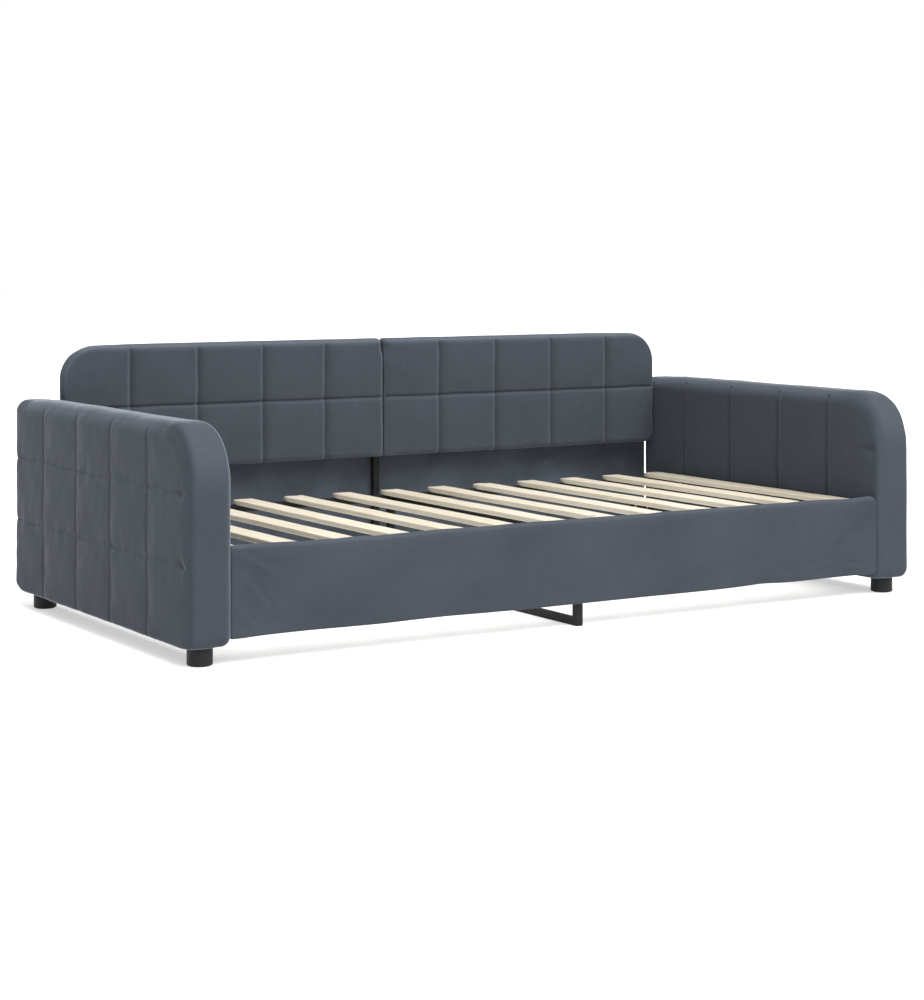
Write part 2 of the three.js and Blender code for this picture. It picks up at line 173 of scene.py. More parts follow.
def smooth(x, low, high):
    """0 below low, 1 above high, and a smooth step between."""
    t = np.clip((x - low) / (high - low), 0, 1)
    return t * t * (3 - 2 * t)


def ripple(points, wavelength, seed, count=22):
    """A smooth random field of about unit size, made of plane waves of nearly that length."""
    points = np.asarray(points, float)
    rng = np.random.default_rng(seed)
    direction = rng.normal(size=(count, points.shape[1]))
    direction /= np.linalg.norm(direction, axis=1)[:, None]
    number = 2 * math.pi / (wavelength * rng.uniform(0.7, 1.6, count))
    phase = rng.uniform(0, 2 * math.pi, count)
    return np.sin(points @ (direction * number[:, None]).T + phase).sum(1) * math.sqrt(2 / count)


def round_over(a, b):
    """Turns the square 0..1 by 0..1 into a quarter disc."""
    radius = np.maximum(np.maximum(a, b), TINY)
    angle = np.where(a >= b, b / radius, 2 - a / radius) * math.pi / 4
    return radius * np.cos(angle), radius * np.sin(angle)


def grid_lines(low, high, step, seams=(), edge=0, edge_lines=8):
    """Positions of grid lines from low to high: close beside each seam and over each rounded edge, and step
    apart elsewhere."""
    marks = {low, high}
    for seam in seams:
        marks |= {seam + k * o for o in LINES_BESIDE_SEAM for k in (-1, 1)}
    if edge:
        over = [edge * (i / edge_lines) ** 1.4 for i in range(edge_lines + 1)]
        marks |= {low + o for o in over} | {high - o for o in over}
    marks = sorted(marks)
    kept = [marks[0]]
    for m in marks[1:]:
        if m - kept[-1] > CLOSEST_LINES:
            kept.append(m)
    out = []
    for a, b in zip(kept, kept[1:]):
        parts = max(1, math.ceil((b - a) / step - 1e-6))
        out += [a + (b - a) * i / parts for i in range(parts)]
    return np.array(out + [kept[-1]])


def squares(index):
    """The four corners of each square of a grid of point numbers."""
    return np.stack([index[:-1, :-1], index[1:, :-1], index[1:, 1:], index[:-1, 1:]], -1).reshape(-1, 4)


def slab(us, vs, ws, corners, edge):
    """A closed block on a grid, its outline rounded in the u-v plane and its edges rounded over. corners are
    the radii at (low u, low v), (high u, low v), (high u, high v), (low u, high v). edge(u, v, side) is the
    edge's radius. In the result, s is a point's distance from the outline and t its distance from the nearer
    face, before any rounding, and u2, v2 and w2 are its place after it."""
    index = -np.ones((len(us), len(vs), len(ws)), int)
    shell = np.zeros(index.shape, bool)
    for axis in range(3):
        ends = [slice(None)] * 3
        for end in (0, -1):
            ends[axis] = end
            shell[tuple(ends)] = True
    index[shell] = np.arange(shell.sum())
    i, j, k = np.argwhere(shell).T
    quads = []
    for plane, flip in ((index[:, :, 0], True), (index[:, :, -1], False), (index[:, 0, :], False),
                        (index[:, -1, :], True), (index[0], True), (index[-1], False)):
        q = squares(plane)
        quads.append(q[:, ::-1] if flip else q)
    u, v, w = us[i], vs[j], ws[k]
    s = np.minimum(np.minimum(u - us[0], us[-1] - u), np.minimum(v - vs[0], vs[-1] - v))
    t = np.minimum(w - ws[0], ws[-1] - w)
    side = np.where(w < (ws[0] + ws[-1]) / 2, -1, 1)
    # over the edges
    radius = edge(u, v, side)
    near = (s < radius) & (t < radius)
    a, b = round_over((radius - s) / radius, (radius - t) / radius)
    s2 = np.where(near, radius * (1 - a), s)
    t2 = np.where(near, radius * (1 - b), t)
    w2 = np.where(side < 0, ws[0] + t2, ws[-1] - t2)
    by_u = np.minimum(u - us[0], us[-1] - u) <= np.minimum(v - vs[0], vs[-1] - v)
    low_u, low_v = u - us[0] < us[-1] - u, v - vs[0] < vs[-1] - v
    u2 = np.where(near & by_u, np.where(low_u, us[0] + s2, us[-1] - s2), u)
    v2 = np.where(near & ~by_u, np.where(low_v, vs[0] + s2, vs[-1] - s2), v)
    # round the outline
    for (cu, cv), r in zip(((0, 0), (-1, 0), (-1, -1), (0, -1)), corners):
        du, dv = (1 if cu == 0 else -1), (1 if cv == 0 else -1)
        centre_u, centre_v = us[cu] + du * r, vs[cv] + dv * r
        a, b = (centre_u - u) * du / r, (centre_v - v) * dv / r
        inside = (a > 0) & (b > 0)
        shrink = (r - s2) / np.maximum(r - s, TINY)
        a, b = round_over(np.clip(a * shrink, 0, 1), np.clip(b * shrink, 0, 1))
        u2 = np.where(inside, centre_u - du * a * r, u2)
        v2 = np.where(inside, centre_v - dv * b * r, v2)
    return SimpleNamespace(u=u, v=v, w=w, s=s, t=t, side=side, u2=u2, v2=v2, w2=w2,
                           quads=np.concatenate(quads))


def outward(points, quads):
    """Unit normals at the points, and the quads turned so that they face out."""
    a, b, c, d = (points[quads[:, n]] for n in range(4))
    face = np.cross(c - a, d - b)
    if ((a + b + c + d) / 4 * face).sum() < 0:
        quads, face = quads[:, ::-1], -face
    total = np.zeros_like(points)
    for n in range(4):
        for axis in range(3):
            total[:, axis] += np.bincount(quads[:, n], face[:, axis], len(points))
    return total / np.maximum(np.linalg.norm(total, axis=1), 1e-12)[:, None], quads


def mesh_piece(name, points, faces, material, hard_edges=None, nap_and_painted_light=None):
    """A new piece that rides on the bed, from points in millimetres. The last argument is painted light: how
    much lighter or darker the velvet's colour is made at each point, in painted highlights and painted shade,
    with some random tone."""
    mesh = bpy.data.meshes.new(name)
    mesh.from_pydata((np.asarray(points) * MM).tolist(), [], [list(map(int, f)) for f in faces])
    mesh.validate()
    mesh.materials.append(material)
    mesh.shade_smooth()
    # painted light: the velvet's colour is scaled by this attribute
    if nap_and_painted_light is not None:
        mesh.attributes.new("painted_highlight_and_shade", "FLOAT", "POINT").data.foreach_set("value", nap_and_painted_light.astype(np.float32))
    if hard_edges is not None:
        mesh.set_sharp_from_angle(angle=math.radians(hard_edges))
    piece = bpy.data.objects.new(name, mesh)
    bpy.context.scene.collection.objects.link(piece)
    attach(piece, "root")
    return piece


def crease(distance, sharp, soft, width, reach, bend=(1.2, 1.2)):
    """How deep a sewn line is at a distance from it: a sharp fold in a soft valley. reach is how far the fold
    goes before and after the line. A bend under 1 makes a full shoulder, and one over 1 a hollow."""
    near = np.clip(1 - np.abs(distance) / np.where(distance < 0, *reach), 0, 1)
    return sharp * near ** np.where(distance < 0, *bend) + soft * np.exp(-(distance / width) ** 2)


def beside(distance, width, amount):
    """A soft band of some amount, centred where distance is 0."""
    return amount * np.exp(-(distance / width) ** 2)


def fold(x, z, start, end, width, height):
    """A soft fold in the cloth along a line, which fades towards its ends."""
    start, end = np.array(start, float), np.array(end, float)
    length = np.linalg.norm(end - start)
    along, across = (end - start) / length, np.array([-(end - start)[1], (end - start)[0]]) / length
    p = np.stack([x, z], -1) - start
    run = p @ along / length
    along_it = smooth(run, -0.15, 0.35) * (1 - smooth(run, 0.65, 1.15))
    return height * np.exp(-((p @ across) / width) ** 2) * along_it


def box_mm(node):
    """A CAD node's lowest and highest corner, in millimetres."""
    low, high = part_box(node)
    return np.array(low) / MM, np.array(high) / MM


# ---------------------------------------------------------------- materials

def new_material(name):
    material = bpy.data.materials.new(name)
    material.use_nodes = True
    material.node_tree.nodes["Principled BSDF"].name = "surface"
    return material, material.node_tree


def add(tree, kind, inputs=(), **settings):
    """A new node. inputs maps a socket's name or number to a value, or to another node's output."""
    made = tree.nodes.new("ShaderNode" + kind)
    for key, value in settings.items():
        setattr(made, key, value)
    for key, value in dict(inputs).items():
        if isinstance(value, bpy.types.NodeSocket):
            tree.links.new(value, made.inputs[key])
        else:
            made.inputs[key].default_value = value
    return made


def set_surface(tree, **values):
    surface = tree.nodes["surface"]
    for key, value in values.items():
        socket = surface.inputs[key.replace("_", " ")]
        if isinstance(value, bpy.types.NodeSocket):
            tree.links.new(value, socket)
        else:
            socket.default_value = value


def noise(tree, vector, scale, detail=2.0, distortion=0.0, roughness=0.5):
    """A noise of about scale lumps to the metre."""
    return add(tree, "TexNoise", {"Vector": vector, "Scale": scale, "Detail": detail, "Roughness": roughness,
                                  "Distortion": distortion}).outputs["Fac"]


def stretched(tree, scale):
    """Object coordinates with each axis scaled."""
    place = add(tree, "TexCoord").outputs["Object"]
    return add(tree, "Mapping", {"Vector": place, "Scale": scale}).outputs["Vector"]


def ramp(tree, factor, low, high, at=(0.3, 0.7)):
    """Two colours with a smooth change between two values of factor."""
    made = add(tree, "ValToRGB", {"Fac": factor})
    for element, colour, position in zip(made.color_ramp.elements, (low, high), at):
        element.color = (*colour, 1)
        element.position = position
    return made.outputs["Color"]


def mixed(tree, factor, a, b, blend="MIX"):
    made = add(tree, "Mix", data_type="RGBA", blend_type=blend)
    for socket, value in ((made.inputs["Factor"], factor), (made.inputs[6], a), (made.inputs[7], b)):
        if isinstance(value, bpy.types.NodeSocket):
            tree.links.new(value, socket)
        else:
            socket.default_value = value
    return made.outputs[2]


def spread(tree, factor, low, high):
    """A number from low to high as factor goes over the middle of a noise."""
    return add(tree, "MapRange", {"Value": factor, "From Min": 0.3, "From Max": 0.7, "To Min": low,
                                  "To Max": high}).outputs["Result"]


def bumps(tree, *layers):
    """Bump layers on top of each other, each (height, strength, distance in metres)."""
    normal = None
    for height, strength, distance in layers:
        inputs = {"Height": height, "Strength": strength, "Distance": distance}
        if normal is not None:
            inputs["Normal"] = normal
        normal = add(tree, "Bump", inputs).outputs["Normal"]
    return normal


def velvet_material():
    """Short-pile velvet: a slate nap with brushed patches and a fine pile, its colour scaled by each piece's
    painted highlights and painted shade beside seams and edges, and with a sheen where it is seen edge on."""
    material, tree = new_material("velvet")
    place = add(tree, "TexCoord").outputs["Object"]
    brushed = noise(tree, stretched(tree, (1, 1, 0.8)), 5.5, 2, 0.6)
    nap_and_painted_light = noise(tree, stretched(tree, (1, 1, 0.7)), 42, 3, 0.5)
    pile = noise(tree, place, 1300, 2)
    slate = ramp(tree, brushed, (0.038, 0.044, 0.054), (0.043, 0.050, 0.061))
    slate = mixed(tree, nap_and_painted_light, slate, ramp(tree, nap_and_painted_light, (0.037, 0.043, 0.053), (0.045, 0.052, 0.064)))
    slate = mixed(tree, 0.5, slate, ramp(tree, pile, (0.70, 0.72, 0.74), (1.20, 1.20, 1.20)), "MULTIPLY")
    # painted light: the base colour is scaled by the piece's painted highlights and painted shade
    painted_light_factor = add(tree, "Attribute", attribute_name="painted_highlight_and_shade").outputs["Fac"]
    painted_light_factor = add(tree, "Math", {0: painted_light_factor, 1: 1.0}, operation="ADD").outputs["Value"]
    slate = add(tree, "VectorMath", {0: slate, "Scale": painted_light_factor}, operation="SCALE").outputs["Vector"]
    set_surface(tree, Base_Color=slate, Roughness=spread(tree, nap_and_painted_light, 0.86, 0.97), Sheen_Weight=1.0,
                Sheen_Roughness=0.20, Sheen_Tint=(0.86, 0.92, 1.0, 1), Specular_IOR_Level=0.15,
                Normal=bumps(tree, (nap_and_painted_light, 0.10, 0.0015), (pile, 0.32, 0.0006)))
    return material


def slat_material():
    """Planed pale softwood: straight grain along the slat, a few darker streaks and small knots."""
    material, tree = new_material("slat_wood")
    grain = noise(tree, stretched(tree, (1, 0.035, 1)), 330, 4, 0.6)
    bands = noise(tree, stretched(tree, (1, 0.05, 1)), 62, 3, 1.2)
    board = noise(tree, stretched(tree, (1, 0.2, 0.2)), 5.2, 1)
    cells = add(tree, "TexVoronoi", {"Vector": stretched(tree, (1, 0.42, 1)), "Scale": 7.5})
    knots = ramp(tree, cells.outputs["Distance"], (0.42, 0.30, 0.19), (1, 1, 1), (0.028, 0.065))
    wood = ramp(tree, bands, (0.585, 0.525, 0.40), (0.68, 0.63, 0.53))
    wood = mixed(tree, 0.5, wood, ramp(tree, grain, (0.515, 0.45, 0.335), (0.715, 0.675, 0.585)))
    wood = mixed(tree, 0.6, wood, ramp(tree, board, (0.88, 0.84, 0.77), (1.06, 1.05, 1.04)), "MULTIPLY")
    wood = mixed(tree, 1.0, wood, knots, "MULTIPLY")
    set_surface(tree, Base_Color=wood, Roughness=spread(tree, grain, 0.36, 0.5), Specular_IOR_Level=0.9,
                Normal=bumps(tree, (bands, 0.12, 0.0006), (grain, 0.28, 0.0004)))
    return material


def steel_material():
    """Satin black powder coat on steel: fine orange peel and slight rub marks."""
    material, tree = new_material("black_steel")
    place = add(tree, "TexCoord").outputs["Object"]
    peel = noise(tree, place, 700, 2)
    rubbed = noise(tree, place, 24, 5, 0.8, 0.65)
    coat = ramp(tree, rubbed, (0.006, 0.006, 0.007), (0.013, 0.013, 0.014), (0.35, 0.75))
    coat = mixed(tree, 0.35, coat, ramp(tree, peel, (0.6, 0.6, 0.6), (1.3, 1.3, 1.3)), "MULTIPLY")
    set_surface(tree, Base_Color=coat, Roughness=spread(tree, rubbed, 0.44, 0.60), Metallic=0.0,
                Specular_IOR_Level=0.2, Normal=bumps(tree, (peel, 0.16, 0.0003)))
    return material


def plastic_material():
    """Black moulded plastic with a fine spark-eroded texture, dusty in places."""
    material, tree = new_material("black_plastic")
    place = add(tree, "TexCoord").outputs["Object"]
    texture = noise(tree, place, 1900, 2)
    dust = noise(tree, place, 38, 4, 0.4)
    black = ramp(tree, dust, (0.006, 0.006, 0.007), (0.012, 0.012, 0.012), (0.4, 0.8))
    set_surface(tree, Base_Color=black, Roughness=spread(tree, dust, 0.42, 0.62), Specular_IOR_Level=0.22,
                Normal=bumps(tree, (texture, 0.25, 0.0003)))
    return material


def zinc_material():
    """Bright zinc plating with a faint yellow and blue cast."""
    material, tree = new_material("zinc")
    place = add(tree, "TexCoord").outputs["Object"]
    cast = noise(tree, place, 90, 3, 0.6)
    scratch = noise(tree, stretched(tree, (1, 0.2, 1)), 900, 2)
    plate = ramp(tree, cast, (0.58, 0.56, 0.48), (0.64, 0.66, 0.70))
    set_surface(tree, Base_Color=plate, Metallic=1.0, Roughness=spread(tree, cast, 0.24, 0.42),
                Normal=bumps(tree, (scratch, 0.12, 0.0002)))
    return material


def board_material():
    """Raw chipboard and timber: pressed flakes."""
    material, tree = new_material("board")
    place = add(tree, "TexCoord").outputs["Object"]
    cells = add(tree, "TexVoronoi", {"Vector": stretched(tree, (1, 0.6, 1)), "Scale": 260.0})
    tone = noise(tree, place, 30, 4)
    wood = mixed(tree, 0.25, ramp(tree, tone, (0.34, 0.22, 0.11), (0.50, 0.34, 0.18)), cells.outputs["Color"],
                 "SOFT_LIGHT")
    set_surface(tree, Base_Color=wood, Roughness=spread(tree, tone, 0.7, 0.9),
                Normal=bumps(tree, (tone, 0.3, 0.0006)))
    return material


def floor_material():
    """A plain pale studio floor."""
    material, tree = new_material("floor")
    place = add(tree, "TexCoord").outputs["Object"]
    grey = ramp(tree, noise(tree, place, 3, 3), (0.74, 0.74, 0.74), (0.77, 0.77, 0.77))
    set_surface(tree, Base_Color=grey, Roughness=0.9, Specular_IOR_Level=0.1, Emission_Color=(1, 1, 1, 1),
                Emission_Strength=FLOOR_GLOW)
    return material


MATERIALS = {"velvet": velvet_material(), "slat_wood": slat_material(), "black_steel": steel_material(),
             "black_plastic": plastic_material(), "zinc": zinc_material(), "board": board_material()}


def dress_cad_nodes():
    """Gives every CAD node its slot's material, and eases the edges of the steel."""
    for part in frame["record"]["subparts"]:
        node = frame["nodes"][part["node"]]
        node.data.materials.clear()
        node.data.materials.append(MATERIALS[part["material_slot"]])
        if part["material_slot"] in ("black_steel", "zinc", "black_plastic"):
            weld = node.modifiers.new("weld", "WELD")
            weld.merge_threshold = WELD_REACH * MM
            bevel = node.modifiers.new("eased edges", "BEVEL")
            bevel.width = STEEL_BEVEL * MM
            bevel.segments = 2
            bevel.limit_method = "ANGLE"
            bevel.angle_limit = math.radians(SHARP_STEEL)
            bevel.harden_normals = True


# ---------------------------------------------------------------- soft pieces

def blown_cloth(us, vs, held):
    """Heights of a sheet of cloth on the grid of us and vs, held down where held is true and pushed up
    elsewhere by its padding."""
    scene = bpy.context.scene
    u, v = np.meshgrid(us, vs, indexing="ij")
    index = np.arange(u.size).reshape(u.shape)
    mesh = bpy.data.meshes.new("cloth")
    mesh.from_pydata((np.stack([u, v, 0 * u], -1).reshape(-1, 3) * MM).tolist(), [], squares(index).tolist())
    sheet = bpy.data.objects.new("cloth", mesh)
    scene.collection.objects.link(sheet)
    sheet.vertex_groups.new(name="held").add(index[held].tolist(), 1.0, "REPLACE")
    cloth = sheet.modifiers.new("cloth", "CLOTH")
    cloth.settings.vertex_group_mass = "held"
    cloth.settings.use_pressure = True
    cloth.settings.uniform_pressure_force = CLOTH["pressure"]
    cloth.settings.shrink_min = CLOTH["shrink"]
    cloth.settings.effector_weights.gravity = 0
    cloth.collision_settings.use_collision = False
    for frame_number in range(1, CLOTH["frames"] + 1):
        scene.frame_set(frame_number)
    blown = sheet.evaluated_get(bpy.context.evaluated_depsgraph_get()).data
    points = np.zeros(u.size * 3, np.float32)
    blown.vertices.foreach_get("co", points)
    scene.frame_set(1)
    bpy.data.objects.remove(sheet)
    bpy.data.meshes.remove(mesh)
    return points.reshape(-1, 3)[:, 2].reshape(u.shape) / MM


def even_lines(marks):
    """Positions from the first mark to the last that take in every mark, about one cloth step apart."""
    spans = [np.linspace(a, b, math.ceil((b - a) / CLOTH["step"]) + 1)[:-1] for a, b in zip(marks, marks[1:])]
    return np.concatenate(spans + [[marks[-1]]])


def padding(u, v, u_seams, v_seams):
    """How full the padding is at each point, 0 at the seams and about 1 in the middle of a square: a cloth
    simulation of one face, held along its seams and rim."""
    u_marks = [u.min(), *u_seams, u.max()]
    v_marks = [v.min(), *v_seams, v.max()]
    us, vs = even_lines(u_marks), even_lines(v_marks)
    held = np.isin(us, u_marks)[:, None] | np.isin(vs, v_marks)[None, :]
    heights = blown_cloth(us, vs, held)
    heights = np.clip(heights / np.percentile(heights, FULL_PERCENTILE), *PADDING_LIMITS)
    # between the grid's points, in straight lines
    i = np.clip(np.searchsorted(us, u, "right") - 1, 0, len(us) - 2)
    j = np.clip(np.searchsorted(vs, v, "right") - 1, 0, len(vs) - 2)
    a, b = (u - us[i]) / (us[i + 1] - us[i]), (v - vs[j]) / (vs[j + 1] - vs[j])
    low_v = heights[i, j] * (1 - a) + heights[i + 1, j] * a
    high_v = heights[i, j + 1] * (1 - a) + heights[i + 1, j + 1] * a
    return low_v * (1 - b) + high_v * b


def arm(side):
    """An arm's padded cover: quilted on both faces, with a smooth band over its top and front."""
    sign = SIDES[side]
    name = f"arm_{side}_cover"
    low, high = box_mm(name)
    inner, outer = (low[0], high[0]) if sign > 0 else (-high[0], -low[0])
    seams = ARM_COLUMN_SEAMS[side]
    ys = grid_lines(low[1], high[1], GRID_STEP, seams, ARM_EDGE)
    zs = grid_lines(low[2], high[2], GRID_STEP, ARM_ROW_SEAMS, ARM_TOP_EDGE, 11)
    xs = grid_lines(inner, outer, GRID_STEP, (), ARM_TOP_EDGE, 11)

    def edge(y, z, end):
        at_back = smooth(z, low[2] + 50, low[2] + 110) * (1 - smooth(z, high[2] - 110, high[2] - 50))
        at_back = smooth(y, 400, 520) * at_back
        radius = ARM_EDGE + ARM_BACK_EDGE_EXTRA * at_back * (end < 0)
        # the edge that turns to the bed's left stays broad round the front arc
        left, right = smooth(y, low[1] - 20, low[1] + 70), smooth(y, low[1] + 40, low[1] + 260)
        at_top = smooth(z, high[2] - 140, high[2] - 50) * np.where(sign * end < 0, left, right)
        radius += (ARM_TOP_EDGE - ARM_EDGE) * at_top * smooth(high[1] - y, 20, 90)
        at_front = (1 - smooth(y, low[1] + 30, low[1] + 90)) * (1 - smooth(z, 400, 500))
        front_edge = ARM_FRONT_EDGE[side]
        radius += (np.where(end < 0, front_edge["inner"], front_edge["outer"]) - radius) * at_front
        along_bottom = smooth(y, low[1] + 10, low[1] + 60) * (1 - smooth(y, high[1] - 60, high[1] - 15))
        along_bottom *= 1 - smooth(z, low[2] + 20, low[2] + 80)
        return radius + (ARM_BOTTOM_EDGE - radius) * along_bottom

    corners = [ARM_CORNERS[k] for k in ("front_bottom", "back_bottom", "back_top", "front_top")]
    g = slab(ys, zs, xs, corners, edge)
    y, z = g.u, g.v
    place = np.stack([y, z, g.w * 1.0], -1)
    inside = g.side < 0
    seed = SEEDS["arm"][side]
    # columns: they run from the bottom edge up over the top edge
    over_top = np.where(inside, smooth(high[2] - z, 0, 8) * (1 - smooth(g.t, 26, 50)),
                        smooth(high[2] - z, 0, 26) * (1 - smooth(g.t, 8, 42)))
    strength = over_top * smooth(y - low[1], 20, 34)
    depth, pulls, nap_and_painted_light = np.zeros(len(y)), np.zeros(len(y)), np.zeros(len(y))
    for n, seam in enumerate(seams):
        uneven = 1 + 0.10 * ripple(np.stack([z, 40.0 * g.side], -1), 150, seed + n)
        line = seam + 0.7 * ripple(np.stack([z, 60.0 * g.side], -1), 170, seed + 10 + n)
        outer_seam, inner_seam = crease(y - line, **ARM_OUTER_COLUMN), crease(y - line, **ARM_INNER_COLUMN)
        depth += np.where(inside, inner_seam, outer_seam) * uneven * strength
        # painted light: a painted highlight before each seam and painted shade after it (outer face: shade
        # only)
        inner_painted_light = beside(y - line + 8, 5, 0.18) - beside(y - line - 5, 6, 0.26)
        nap_and_painted_light += strength * np.where(inside, inner_painted_light, beside(y - line - 5, 9, -0.16))
        tuck = ripple(np.stack([z, 90.0 * g.side], -1), 34, seed + 20 + n)
        pulls += 0.22 * tuck * np.exp(-np.abs(y - seam) / 15) * strength
    # rows: faint across the middle, pulled in tight at the back edge and in short puckers at the front
    front, back = y - low[1], high[1] - y
    for n, seam in enumerate(ARM_ROW_SEAMS):
        drawn = 0.55 + 0.16 * ripple(np.stack([y, 30.0 * g.side], -1), 110, seed + 30 + n)
        middle = np.where(inside, 0.12, drawn)
        here = middle + (1 - middle) * (1 - smooth(back, 10, 75))
        here = here * smooth(front, 24, 34) * (1 - smooth(g.t, 26, 58))
        sway = ripple(np.stack([y, 70.0 * g.side], -1), 120, seed + 40 + n)
        line = seam + np.where(inside, 0.8, 2.8) * sway
        depth += crease(z - line, **ARM_ROW) * here
        # painted highlight below each row seam and painted shade above it
        nap_and_painted_light += here * (beside(z - line + 9, 7, 0.10) - beside(z - line - 2, 5, 0.10))
        tuck = ripple(np.stack([y, 50.0 * g.side], -1), 38, seed + 60 + n)
        pulls += np.where(inside, 0.25, 0.55) * tuck * np.exp(-np.abs(z - line) / 16) * here
        face = 1 - smooth(g.t, 2, 12)
        tip = smooth(front, 14, 24) * np.exp(-(np.clip(front - 30, 0, None) / 36) ** 2) * face
        depth += tip * (2.4 * np.exp(-np.abs(z - line) / 5) + 1.6 * np.exp(-((z - line) / 18) ** 2))
        pulls += 1.6 * tip * np.exp(-((z - line + 15) / 10) ** 2)
        # painted highlight below each pucker and painted shade above it
        nap_and_painted_light += tip * (beside(z - line + 12, 8, 0.16) - beside(z - line - 6, 8, 0.18))
    filling = 0.5 * ripple(place, 150, seed + 80) + 0.16 * ripple(place, 52, seed + 81)
    pillow = PAD_HEIGHT["arm"] * padding(y, z, seams, ARM_ROW_SEAMS) * (1 - smooth(g.t, 6, 44))
    height = filling * np.where(inside, 0.5, 1) + pillow * np.where(inside, ARM_INSIDE_SHARE, 1)
    height = height + pulls - depth
    height -= np.where(inside & (g.t < 40), 0.9, 0)
    # painted highlights over the top, round the front corner and along the edge that turns to the bed's right
    facing_left, facing_right = sign * g.side < 0, sign * g.side > 0
    at_front = 1 - smooth(y, low[1] + 50, low[1] + 260)
    nap_and_painted_light += ARM_PAINTED_LIGHT["top"] * smooth(g.v2, high[2] - 46, high[2] - 6) * (1 - at_front)
    # on the faces that turn to the bed's left: painted shade on the left arm, and painted light on the right
    # arm
    nap_and_painted_light += ARM_FACE_PAINTED_LIGHT[side] * (1 - smooth(g.t, 3, 16)) * facing_left
    nap_and_painted_light += ARM_PAINTED_LIGHT["front_arc"] * smooth(g.v2, high[2] - 190, high[2] - 60) * at_front * smooth(g.t, 4, 24)
    nap_and_painted_light += ARM_PAINTED_LIGHT["right_edge"] * facing_right * (1 - smooth(g.t, 3, 15)) * (1 - smooth(g.s, 3, 15))
    # painted shade round the left arm's rim, and low at its front
    if side == "left":
        on_rim = 1 - smooth(g.s, 0, 10)
        nap_and_painted_light += ARM_PAINTED_LIGHT["left_edge"] * facing_left * (1 - smooth(g.t, 17, 23)) * on_rim
        low_front = 1 - smooth(y, low[1] + 60, low[1] + 120)
        low_front = low_front * (1 - smooth(g.v2, high[2] - 190, high[2] - 110))
        nap_and_painted_light += ARM_PAINTED_LIGHT["low_front"] * smooth(g.t, 14, 30) * on_rim * low_front
    points = np.stack([sign * g.w2, g.u2, g.v2], -1)
    normal, quads = outward(points, g.quads)
    points += normal * height[:, None]
    points[:, 2] -= ARM_BACK_TOP_DROP * smooth(y, 400, 520) * smooth(z, 440, high[2])
    points[:, 2] -= ARM_BOTTOM_SAG[side] * (1 - smooth(z, low[2], low[2] + 60))
    piece = mesh_piece(f"velvet_arm_{side}", points, quads, MATERIALS["velvet"], nap_and_painted_light=nap_and_painted_light)
    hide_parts(name)


def painted_seam_light(distance):
    """Painted light beside a panel's upright seam: a painted highlight before it, then painted shade that
    slowly fades.
    """
    painted_seam_shade = np.where(distance > 0, 0.30 * np.exp(-np.abs(distance) / 13), 0)
    return beside(distance + 5.5, 4.2, 0.55) - painted_seam_shade


